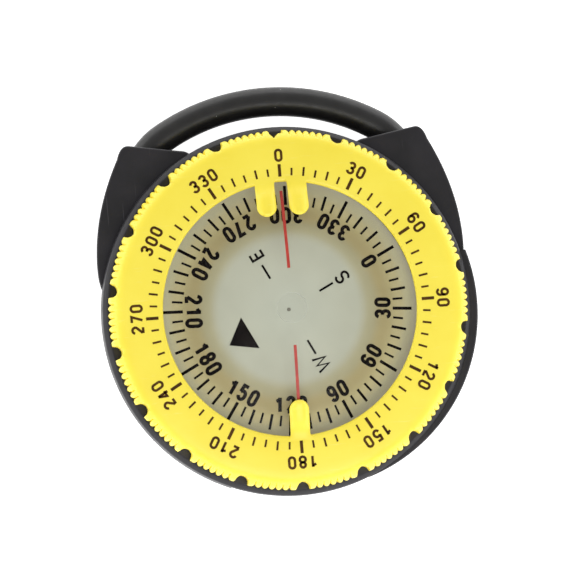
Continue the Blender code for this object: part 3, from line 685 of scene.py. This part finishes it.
# %% Ring scale
RING_NUMBER_R = 30.8
RING_FIGURE = (2.65, 1.66, 0.5, 0.5)
ring_marks = bmesh.new()
ring_numbers = bmesh.new()
for degrees in range(0, 360, 5):
    if degrees % 30 == 0:
        bar(ring_marks, 26.5, 29.0, 0.62, degrees)
        centre = clock_point(RING_NUMBER_R, degrees)
        draw(ring_numbers, str(degrees), *RING_FIGURE, centre, degrees)
    elif degrees % 10 == 0:
        bar(ring_marks, 26.7, 28.5, 0.40, degrees)
    else:
        bar(ring_marks, 26.7, 28.2, 0.38, degrees)
print_on("bezel_marks", ring_marks, lambda radius: RING_TOP, brown_ink, "bezel")
print_on("bezel_numbers", ring_numbers, lambda radius: RING_TOP, brown_ink, "bezel")

# %% [markdown]
# ## The floating card
# The card is a shallow pan: a flat disc in the middle, a sloped skirt for the scale, and an upright
# band that a side window shows. It is moulded in a pale resin, greenish in the middle, and the skirt
# is coloured browner, partly for the liquid that lies over it and partly as painted shade. A ramp on
# the distance from the axis gives that change without a hard line, and near the rim it turns almost
# white: painted light that offsets the shade under the ring. The clear bowl under the ring also leads
# light to the skirt's edge, and a faint painted glow that grows outwards stands in for it.

# %% Card finish
CARD_R = 26.4
card_plastic = moulded(
    "card_plastic", rgb(219, 221, 206), rgb(226, 228, 213), 7.0, (0.5, 0.6), 0.5, 0.003, 0.0, WET_IOR,
)
tree, shader, colour = colour_of(card_plastic)
where = add_node(tree, "TexCoord")
flatten = add_node(tree, "VectorMath", operation="MULTIPLY")
flatten.inputs[1].default_value = (1.0, 1.0, 0.0)
wire(tree, where.outputs["Object"], flatten.inputs[0])
distance = add_node(tree, "VectorMath", operation="LENGTH")
wire(tree, flatten.outputs["Vector"], distance.inputs[0])
outward = spread(tree, distance.outputs["Value"], 0.0, 1.0, 0.0, CARD_R * MM)
# painted light: the outer stops lighten the skirt's rim to offset the shade under the ring; the brown
# middle stops are partly the resin's colour and partly painted shade
tints_and_painted_light = (
    (0.0, rgb(224, 226, 225)), (0.52, rgb(222, 222, 218)), (0.63, rgb(212, 204, 180)),
    (0.73, rgb(220, 203, 164)), (0.86, rgb(250, 236, 194)), (0.94, rgb(255, 252, 222)),
    (1.0, rgb(255, 255, 245)),
)
tint_and_painted_light = ramp(tree, outward, tints_and_painted_light, "EASE")
multiply = add_node(tree, "Mix", data_type="RGBA", blend_type="MULTIPLY")
multiply.inputs[0].default_value = 1.0
wire(tree, colour, multiply.inputs[6])
wire(tree, tint_and_painted_light, multiply.inputs[7])
wire(tree, multiply.outputs[2], shader.inputs["Base Color"])
# painted light: an emission that grows towards the rim makes the skirt glow, lifting the shade under
# the ring
PAINTED_EDGE_GLOW = 0.2
painted_edge_glow = spread(tree, outward, 0.0, PAINTED_EDGE_GLOW, 0.80, 0.97)
shader.inputs["Emission Color"].default_value = rgb(240, 226, 196)
wire(tree, painted_edge_glow, shader.inputs["Emission Strength"])

# %% Card shape
CARD_TOP = 23.6
CARD_EDGE = 20.1
BAND_R = 25.0
BEND_FROM, BEND_TO = 15.0, 18.0
SKIRT_SLOPE = (CARD_TOP - CARD_EDGE) / (CARD_R - 16.5)


def card_height(radius):
    """Height of the card's face: level, then a soft bend, then the skirt."""
    if radius <= BEND_FROM:
        return CARD_TOP
    bend = min(radius, BEND_TO) - BEND_FROM
    drop = SKIRT_SLOPE * bend * bend / (2.0 * (BEND_TO - BEND_FROM))
    return CARD_TOP - drop - SKIRT_SLOPE * max(radius - BEND_TO, 0.0)


face_profile = [(0.0, CARD_TOP), (7.5, CARD_TOP)]
face_profile += [(BEND_FROM + 0.5 * step, card_height(BEND_FROM + 0.5 * step)) for step in range(7)]
face_profile += [
    (22.2, card_height(22.2)), (26.2, card_height(26.2)), (CARD_R, card_height(CARD_R) - 0.15),
    (CARD_R, 19.5), (26.2, 19.3), (BAND_R, 19.5), (BAND_R, 14.35), (24.85, 14.2), (24.45, 14.2),
    (24.3, 14.35), (24.3, 19.9), (16.5, 22.8), (0.0, 22.8),
]
card_face = as_object("card_face", turned(face_profile, 144))
fit(card_face, card_plastic, "card", ["card"])

# %% [markdown]
# ## Print on the card
# The figures are bolder here and their tops point at the middle, so that they read through the
# window over the near edge. North is a solid triangle, and east, south and west are letters that
# all stand the same way up. The card rests with its north mark towards the viewer's left.

# %% Card scale
CARD_NORTH_DEG = 243.2
CARD_NUMBER_R = 19.05
CARD_FIGURE = (3.5, 1.94, 0.42, 0.70)
card_scale = bmesh.new()
card_numbers = bmesh.new()
for value in range(0, 360, 5):
    degrees = value + CARD_NORTH_DEG - 180.0
    if value % 30 == 0:
        bar(card_scale, 21.2, 25.2, 0.60, degrees)
        centre = clock_point(CARD_NUMBER_R, degrees)
        draw(card_numbers, str(value), *CARD_FIGURE, centre, degrees + 180.0)
    elif value % 10 == 0:
        bar(card_scale, 21.2, 24.3, 0.52, degrees)
    else:
        bar(card_scale, 21.3, 23.4, 0.42, degrees)
print_on("card_marks", card_scale, card_height, card_ink, "card")
print_on("card_numbers", card_numbers, card_height, card_ink, "card")

# %% Card letters
LETTER_R = 12.6
LETTER_NIB = 0.46
card_letters = bmesh.new()
LETTERS = ((90.0, "E", 2.9, 1.8), (180.0, "S", 3.1, 2.1), (270.0, "W", 3.1, 3.3))
for offset, letter, height, width in LETTERS:
    degrees = CARD_NORTH_DEG + offset
    centre = clock_point(LETTER_R, degrees)
    draw(card_letters, letter, height, width, 0.0, LETTER_NIB, centre, CARD_NORTH_DEG)
    bar(card_letters, 7.2, 10.4, 0.42, degrees)
print_on("card_letters", card_letters, card_height, card_ink, "card")

# %% North mark and pivot dot
north = bmesh.new()
tip = clock_point(14.0, CARD_NORTH_DEG)
base = clock_point(9.1, CARD_NORTH_DEG)
sideways = clock_point(3.6, CARD_NORTH_DEG + 90.0)
corners = (tip, base + sideways, base - sideways)
north.faces.new([north.verts.new((spot.x, spot.y, 0.0)) for spot in corners])
print_on("card_north_mark", north, card_height, card_ink, "card")
dot = bmesh.new()
bmesh.ops.create_circle(dot, cap_ends=True, radius=0.38, segments=24)
print_on("card_pivot_dot", dot, card_height, grey_ink, "card")

# %% [markdown]
# ## The dome and its line
# The dome is a clear shell over the liquid, seen mostly by what it reflects. A gloss that is faint
# when faced and strong at a slant, with the rest let straight through, looks right and stays cheap
# to render. The sighting line is printed on it in red, broken in the middle, and a round plug closes
# the fill hole.

# %% Clear plastic
FACE_ON_GLOSS = 0.003


def clear_finish(name, tint_colour, roughness):
    """Lets light straight through, with a little gloss that grows as the face turns away."""
    finish = bpy.data.materials.new(name)
    finish.use_nodes = True
    tree = finish.node_tree
    gloss = tree.nodes["Principled BSDF"]
    gloss.inputs["Base Color"].default_value = (1.0, 1.0, 1.0, 1.0)
    gloss.inputs["Metallic"].default_value = 1.0
    smears = spread(tree, noise(tree, 6.0, 5.0), roughness, roughness + 0.05)
    wire(tree, smears, gloss.inputs["Roughness"])
    through = add_node(tree, "BsdfTransparent", Color=tint_colour)
    slant = add_node(tree, "LayerWeight", Blend=0.5)
    steep = add_node(tree, "Math", operation="POWER")
    steep.inputs[1].default_value = 5.0
    wire(tree, slant.outputs["Facing"], steep.inputs[0])
    blend = add_node(tree, "MixShader")
    wire(tree, spread(tree, steep.outputs["Value"], FACE_ON_GLOSS, 1.0, 0.0, 1.0), blend.inputs[0])
    wire(tree, through.outputs["BSDF"], blend.inputs[1])
    wire(tree, gloss.outputs["BSDF"], blend.inputs[2])
    wire(tree, blend.outputs["Shader"], tree.nodes["Material Output"].inputs["Surface"])
    return finish


clear_dome = clear_finish("clear_dome", (0.99, 0.99, 0.98, 1.0), 0.12)
clear_plug = clear_finish("clear_plug", (0.975, 0.975, 0.968, 1.0), 0.3)
clear_pane = clear_finish("clear_pane", (0.93, 0.95, 0.94, 1.0), 0.10)

# %% Dome shell
PLUG_R = 3.0
PLUG_HOLE_R = PLUG_R + 0.12
DOME_THICKNESS = 1.2
DOME_R = 28.6
DOME_BORE_R = 27.2
DOME_FOOT = 22.95
INNER_SPHERE_R = DOME_SPHERE_R - DOME_THICKNESS
outer_rs = [28.3, 27.0, 25.0, 22.5, 20.0, 17.0, 14.0, 11.0, 8.0, 5.5, PLUG_HOLE_R]
inner_rs = [PLUG_HOLE_R, 6.0, 10.0, 14.0, 18.0, 22.0, 25.5, DOME_BORE_R]
dome_profile = [(DOME_R, dome_height(DOME_R) - 0.2)] + [(r, dome_height(r)) for r in outer_rs]
dome_profile += [(r, dome_height(r, INNER_SPHERE_R)) for r in inner_rs]
dome_profile += [(DOME_BORE_R, DOME_FOOT), (DOME_R, DOME_FOOT)]
dome_shell = as_object("dome_shell", turned(dome_profile, 128))
fit(dome_shell, clear_dome, "housing", ["capsule_dome"])

# %% Fill plug
plug_profile = [(0.0, DOME_TOP), (1.5, dome_height(1.5)), (PLUG_R - 0.15, dome_height(PLUG_R))]
plug_profile += [(PLUG_R, dome_height(PLUG_R) - 0.12), (PLUG_R, dome_height(PLUG_R, INNER_SPHERE_R))]
plug_profile += [(0.0, DOME_TOP - DOME_THICKNESS)]
fill_plug = as_object("fill_plug_disc", turned(plug_profile, 64))
fit(fill_plug, clear_plug, "housing", ["fill_plug"])


# %% Sighting line
SIGHT_WIDTH = 0.6
SIGHT_INK = 0.05


def sight_line(name, from_y, to_y):
    """A red stroke along Y on the outside of the dome."""
    bm = bmesh.new()
    path = [(0.0, from_y + (to_y - from_y) * step / 24) for step in range(25)]
    pen_stroke(bm, path, SIGHT_WIDTH)
    return print_on(name, bm, dome_height, red_ink, "housing", SIGHT_INK)


sight_line("sight_line_front", 7.9, 23.7)
sight_line("sight_line_rear", -7.5, -23.7)

# %% [markdown]
# ## Print on the card's band
# A traveller who holds the compass at eye level reads the bearing on the upright band, through the
# window in the near wall. The same figures are drawn flat and then wrapped round the band, so each
# point's sideways distance becomes an angle and its height stays.

# %% Band scale
BAND_MARK_TOP = 19.0
BAND_FIGURE_MIDDLE = 16.2
BAND_FIGURE = (2.4, 1.35, 0.35, 0.36)


def wrapped(bm, target, degrees, height):
    """Wraps flat artwork round the band at a clock angle, as seen from outside, and keeps it."""
    for vert in bm.verts:
        around = degrees - math.degrees(vert.co.x / BAND_R)
        vert.co = clock_point(BAND_R, around, height + vert.co.y)
    kept = bpy.data.meshes.new("wrapped")
    bm.to_mesh(kept)
    bm.free()
    target.from_mesh(kept)
    bpy.data.meshes.remove(kept)


band = bmesh.new()
for value in range(0, 360, 10):
    degrees = value + CARD_NORTH_DEG - 180.0
    mark = bmesh.new()
    length, nib = (1.3, 0.4) if value % 30 == 0 else (0.8, 0.3)
    pen_stroke(mark, [(0.0, 0.0), (0.0, -length / 2.0), (0.0, -length)], nib)
    wrapped(mark, band, degrees, BAND_MARK_TOP)
    if value % 30 == 0:
        figures = bmesh.new()
        draw(figures, str(value), *BAND_FIGURE, Vector((0.0, 0.0, 0.0)), 0.0)
        wrapped(figures, band, degrees, BAND_FIGURE_MIDDLE)
pushed = bmesh.ops.extrude_face_region(band, geom=list(band.faces))
outside = {item for item in pushed["geom"] if isinstance(item, bmesh.types.BMVert)}
for vert in band.verts:
    grow = 1.0 + (INK if vert in outside else -INK / 2.0) / BAND_R
    vert.co.x *= grow
    vert.co.y *= grow
fit(as_object("card_band_marks", band), card_ink, "card")

# %% [markdown]
# ## Black plastic and rubber
# The housing is moulded in a charcoal plastic with a fine spark-eroded grain, a shade lighter where
# it is rubbed. The loop is a denser, darker rubber with a soft gloss that picks up dust. Scratches
# are a noise stretched very long and cut off high, and the dust is the middle of scattered cells.

# %% Housing finish
black_plastic = moulded(
    "black_plastic", rgb(30, 29, 32), rgb(38, 36, 40), 6.0, (0.36, 0.46), 0.30, 0.010, 0.0, 1.37,
)
tree, shader, colour = colour_of(black_plastic)
scratches = spread(tree, noise(tree, 0.7, 2.0, (0.5, 22.0, 5.0)), 0.0, 0.35, 0.70, 0.76)
scratched = mix_colours(tree, scratches, colour, rgb(104, 102, 108))
rubbed = spread(tree, noise(tree, 14.0, 4.0), 0.0, 0.30, 0.5, 0.72)
wire(tree, mix_colours(tree, rubbed, scratched, rgb(56, 54, 58)), shader.inputs["Base Color"])

# %% Loop and seal finishes
loop_rubber = moulded("loop_rubber", rgb(21, 20, 19), rgb(29, 28, 27), 3.0, (0.34, 0.46), 0.35, 0.01)
tree, shader, colour = colour_of(loop_rubber)
where = add_node(tree, "TexCoord")
cells = add_node(tree, "TexVoronoi", Scale=1.0 / (2.4 * MM))
wire(tree, where.outputs["Object"], cells.inputs["Vector"])
lint = spread(tree, cells.outputs["Distance"], 0.75, 0.0, 0.02, 0.05)
wire(tree, mix_colours(tree, lint, colour, rgb(176, 174, 170)), shader.inputs["Base Color"])
seal_rubber = moulded("seal_rubber", rgb(26, 26, 27), rgb(38, 38, 39), 1.5, (0.6, 0.75), 0.2, 0.01)

# %% [markdown]
# ## The housing
# One moulding carries the flange under the ring, the collar that the ring turns on, the wall, a
# swollen cheek for the thumb on the right, and the two lugs that hold the loop. The turned body and
# the three plan shapes are made as separate solids with rounded rims, joined, and then cut for the
# loop's sockets, its pins, the click plunger and the window.

# %% Housing body
WALL_R = 32.6
RIM_R = 37.45
BODY_FOOT = 2.5
housing_profile = (
    (28.9, BODY_FOOT), (32.1, BODY_FOOT), (32.45, 2.65), (WALL_R, 3.0), (WALL_R, 13.7),
    (32.72, 14.0), (36.75, 16.85), (37.15, 17.12), (37.37, 17.4), (RIM_R, 17.75), (37.25, 20.2),
    (37.19, 20.45), (37.05, 20.68), (36.3, 21.38), (36.15, 21.47), (35.95, 21.5), (30.6, 21.5),
    (30.6, 23.4), (30.0, 23.4), (30.0, 24.6), (30.6, 24.6), (30.6, 25.5), (30.52, 25.75),
    (30.3, 25.85), (27.6, 25.85), (27.6, 25.35), (28.9, 24.95),
)
housing = as_object("housing_shell", turned(housing_profile, 180))


# %% Plan outlines of the cheek and lugs
def curve(start, control, end, steps):
    """Points of a quadratic curve, without its last point."""
    points = []
    for index in range(steps):
        t = index / steps
        weights = ((1.0 - t) ** 2, 2.0 * t * (1.0 - t), t * t)
        corners = tuple(zip(start, control, end))
        points.append([sum(w * part for w, part in zip(weights, parts)) for parts in corners])
    return points


def arc(radius, from_deg, to_deg, steps):
    """Plan points of a circle between two clock angles."""
    turn = to_deg - from_deg
    return [clock_point(radius, from_deg + turn * index / steps)[:2] for index in range(steps + 1)]


ROOT_R = 31.2
CHEEK_CENTRE = (3.1, -0.7)
CHEEK_R = 35.7
CHEEK_TOP, LUG_TOP = 20.4, 17.5
CHEEK = arc(ROOT_R, 154.0, 73.0, 16)
CHEEK += [(x + CHEEK_CENTRE[0], y + CHEEK_CENTRE[1]) for x, y in arc(CHEEK_R, 73.0, 162.0, 48)]
LUG_FACE_INNER, LUG_CORNER_END, LUG_SIDE_END = (18.4, 34.0), (31.7, 33.2), (37.35, 11.0)
LUG_FOOT = (36.4, 6.0)
LUG = arc(ROOT_R, 84.0, 27.0, 16) + curve((16.2, 32.4), (17.0, 33.8), LUG_FACE_INNER, 6)
LUG += [LUG_FACE_INNER] + curve((29.2, 35.8), (30.9, 36.0), LUG_CORNER_END, 10)
LUG += curve(LUG_CORNER_END, (37.5, 22.0), LUG_SIDE_END, 24)
LUG += curve(LUG_SIDE_END, (37.3, 8.0), LUG_FOOT, 8) + [LUG_FOOT]


# %% Join the cheek and lugs
CHEEK_EDGE_R, LUG_EDGE_R = 0.6, 0.5
LUG_DRAFT = 0.05
BEVEL_FROM_R = 31.5


def plan_solid(name, outline, side, low, high, edge_r, draft=0.0):
    """A plan shape with rounded rims, drawn in by its draft at the foot; side is 1 on the right."""
    bm = raised([(side * x, y) for x, y in outline], low, high)
    for vert in bm.verts:
        if vert.co.z < (low + high) / 2.0:
            vert.co.x *= 1.0 - draft
    outer = []
    for edge in bm.edges:
        level = abs(edge.verts[0].co.z - edge.verts[1].co.z) < 1e-6
        if level and min(vert.co.xy.length for vert in edge.verts) > BEVEL_FROM_R:
            outer.append(edge)
    bmesh.ops.bevel(
        bm, geom=outer, offset=edge_r, offset_type="OFFSET", segments=4, profile=0.5,
        affect="EDGES", material=-1, clamp_overlap=True,
    )
    return as_object(name, bm)


combine(housing, plan_solid("cheek", CHEEK, 1, BODY_FOOT, CHEEK_TOP, CHEEK_EDGE_R), "UNION")
for side in (-1, 1):
    lug = plan_solid("lug", LUG, side, BODY_FOOT, LUG_TOP, LUG_EDGE_R, LUG_DRAFT)
    combine(housing, lug, "UNION")
print("housing joined:", len(housing.data.polygons), "faces")

# %% [markdown]
# ## The loop
# The loop is one moulded length of solid rubber, six millimetres thick: a wide arc, with a tighter
# bend at each end that turns down into a lug, where a steel pin holds it. Spinning one circle
# about three centres in turn makes it a single smooth tube. The same sweep, drawn a little thicker,
# is the tool that cuts the sockets.

# %% Loop sweep
CORD_R = 3.0
LOOP_HEIGHT = 11.4
LOOP_R = 42.3
LOOP_CENTRE = Vector((0.0, 1.1, 0.0))
LOOP_HALF_DEG = 31.0
END_BEND_R = 13.0
END_BEND_DEG = 90.0


def bend_centre(side):
    """Centre of the tight bend at an end of the loop, where it meets the wide arc."""
    joint = clock_point(LOOP_R - END_BEND_R, LOOP_HALF_DEG)
    return Vector((side * joint.x, LOOP_CENTRE.y + joint.y, 0.0))


def loop_sweep(cord_r, end_deg, round_steps):
    """A round cord from inside the left lug, over the wide arc, to inside the right lug."""
    bm = bmesh.new()
    circle = bmesh.ops.create_circle(bm, cap_ends=False, radius=cord_r, segments=round_steps)["verts"]
    upright = Matrix.Rotation(math.radians(90.0), 3, "X")
    along = Matrix.Rotation(math.radians(90.0 + end_deg), 3, "Z")
    bmesh.ops.rotate(bm, verts=circle, cent=(0, 0, 0), matrix=along @ upright)
    start = bend_centre(-1) + clock_point(END_BEND_R, -end_deg, LOOP_HEIGHT)
    bmesh.ops.translate(bm, verts=circle, vec=start)
    ring = list(bm.edges)
    bmesh.ops.contextual_create(bm, geom=ring)
    bends = (
        (bend_centre(-1), end_deg - LOOP_HALF_DEG, 24), (LOOP_CENTRE, 2.0 * LOOP_HALF_DEG, 72),
        (bend_centre(1), end_deg - LOOP_HALF_DEG, 24),
    )
    for centre, turn, steps in bends:
        ends = {vert for edge in ring for vert in edge.verts}
        swept = bmesh.ops.spin(
            bm, geom=list(ends) + ring, cent=centre, axis=(0, 0, 1), dvec=(0, 0, 0),
            angle=math.radians(-turn), steps=steps, use_duplicate=False,
        )
        ring = [item for item in swept["geom_last"] if isinstance(item, bmesh.types.BMEdge)]
    bmesh.ops.contextual_create(bm, geom=ring)
    return bm


# %% Cut the housing
SOCKET_GAP = 0.3
SOCKET_EXTRA_DEG = 2.0
PIN_R = 1.2
PIN_TOP = 15.9
PIN_DEG = 80.0
PLUNGER_BORE_R = 1.3
PLUNGER_PLACE = (32.3, 0.0)
NEAR_SIDE_DEG = 180.0


def post(radius, low, high, place, steps=24):
    """An upright round cutter."""
    bm = turned([(0.0, low), (radius, low), (radius, high), (0.0, high)], steps)
    bmesh.ops.translate(bm, verts=bm.verts, vec=(place[0], place[1], 0.0))
    return as_object("cutter", bm)


pin_places = [bend_centre(side) + clock_point(END_BEND_R, side * PIN_DEG) for side in (-1, 1)]
socket_bm = loop_sweep(CORD_R + SOCKET_GAP, END_BEND_DEG + SOCKET_EXTRA_DEG, 32)
combine(housing, as_object("socket_cutter", socket_bm), "DIFFERENCE")
for place in pin_places:
    combine(housing, post(PIN_R, 0.0, PIN_TOP, place), "DIFFERENCE")
combine(housing, post(PLUNGER_BORE_R, 15.3, 22.5, PLUNGER_PLACE), "DIFFERENCE")
sight = [(27.0, 10.6), (41.0, 10.6), (41.0, 18.2), (27.0, 18.2)]
sight_cutter = as_object("sight_cutter", arc_of_ring(sight, NEAR_SIDE_DEG, 19.0, 24))
combine(housing, sight_cutter, "DIFFERENCE")
seat = [(30.9, 9.2), (41.0, 9.2), (41.0, 19.2), (30.9, 19.2)]
seat_cutter = as_object("seat_cutter", arc_of_ring(seat, NEAR_SIDE_DEG, 22.0, 28))
combine(housing, seat_cutter, "DIFFERENCE")
reshade(housing, 30.0)
fit(housing, black_plastic, "housing", ["housing"])

# %% Loop piece
carry_loop = as_object("carry_loop_cord", loop_sweep(CORD_R, END_BEND_DEG, 40))
for place in pin_places:
    combine(carry_loop, post(PIN_R, 0.0, PIN_TOP, place), "DIFFERENCE")
reshade(carry_loop)
fit(carry_loop, loop_rubber, "housing", ["carry_loop"])

# %% [markdown]
# ## Window and back
# The side window is a curved clear pane in a stepped seat, over its seal. The back is a screwed disc
# with a shallow round recess, a groove and a vent for the diaphragm. Both are only seen from the
# side and below, so they are kept plain, with the small chamfers that a moulding has.

# %% Side window
pane_profile = (
    (32.0, 9.5), (33.55, 9.5), (33.78, 9.62), (33.9, 9.85), (33.9, 18.55), (33.78, 18.78),
    (33.55, 18.9), (32.0, 18.9),
)
pane = as_object("side_window_pane", arc_of_ring(pane_profile, NEAR_SIDE_DEG, 21.5, 36))
fit(pane, clear_pane, "housing", ["side_window"])

# %% Back disc
back_profile = (
    (0.0, 0.3), (21.4, 0.3), (21.75, 0.22), (22.0, 0.0), (26.8, 0.0), (26.95, 0.22), (27.35, 0.22),
    (27.5, 0.0), (32.65, 0.0), (33.0, 0.12), (33.2, 0.5), (33.2, 2.2), (0.0, 2.2),
)
back = as_object("back_cover_disc", turned(back_profile, 144))
SCREW_CIRCLE_R = 30.7
SCREWS_DEG = (20.0, 110.0, 200.0, 290.0)
VENT_R = 0.8
VENT_PLACE = (0.0, 7.0)
for degrees in SCREWS_DEG:
    place = clock_point(SCREW_CIRCLE_R, degrees)
    hole = turned([(0.0, -1.0), (1.7, -1.0), (1.7, 0.25), (1.1, 1.15), (1.1, 3.0), (0.0, 3.0)], 32)
    bmesh.ops.translate(hole, verts=hole.verts, vec=(place.x, place.y, 0.0))
    combine(back, as_object("countersink", hole), "DIFFERENCE")
combine(back, post(VENT_R, -1.0, 3.0, VENT_PLACE), "DIFFERENCE")
reshade(back)
fit(back, black_plastic, "housing", ["back_cover"])

# %% [markdown]
# ## The parts that keep their CAD shape
# The bearing, the magnets, the screws, the seals and the click are small and simple, and their CAD
# solids are right as they are. They only need their metals and rubbers: turned brass with fine tool
# marks, drawn steel, dull magnet alloy and a polished ruby.

# %% Metals and stone
steel = moulded("steel", rgb(172, 174, 178), rgb(206, 208, 212), 1.5, (0.22, 0.38), 0.15, 0.002, 1.0)
brass = moulded("brass", rgb(196, 154, 78), rgb(222, 184, 104), 2.0, (0.22, 0.36), 0.2, 0.003, 1.0)
magnet_steel = moulded(
    "magnet_steel", rgb(96, 98, 102), rgb(128, 130, 134), 2.5, (0.4, 0.55), 0.3, 0.01, 1.0,
)
ruby = moulded("ruby", rgb(120, 8, 26), rgb(168, 18, 44), 0.8, (0.05, 0.12), 0.3, 0.0005, 0.0, 1.76)

# %% Dress the CAD parts
CAD_FINISHES = {
    "back_screw_1": steel, "back_screw_2": steel, "back_screw_3": steel, "back_screw_4": steel,
    "capsule_bowl": clear_pane, "capsule_seal": seal_rubber, "capsule_cushion": seal_rubber,
    "expansion_diaphragm": seal_rubber, "diaphragm_ring": brass, "pivot_post": brass,
    "pivot_needle": steel, "window_seal": seal_rubber, "bezel_snap_ring": steel,
    "loop_pin_left": steel, "loop_pin_right": steel, "detent_spring": steel,
    "detent_plunger": steel, "jewel_stone": ruby, "jewel_cup": brass,
    "magnet_yoke": card_plastic, "magnet_left": magnet_steel, "magnet_right": magnet_steel,
}
for node, finish in CAD_FINISHES.items():
    for material_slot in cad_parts[node].material_slots:
        material_slot.material = finish
print(len(CAD_FINISHES), "CAD parts dressed")
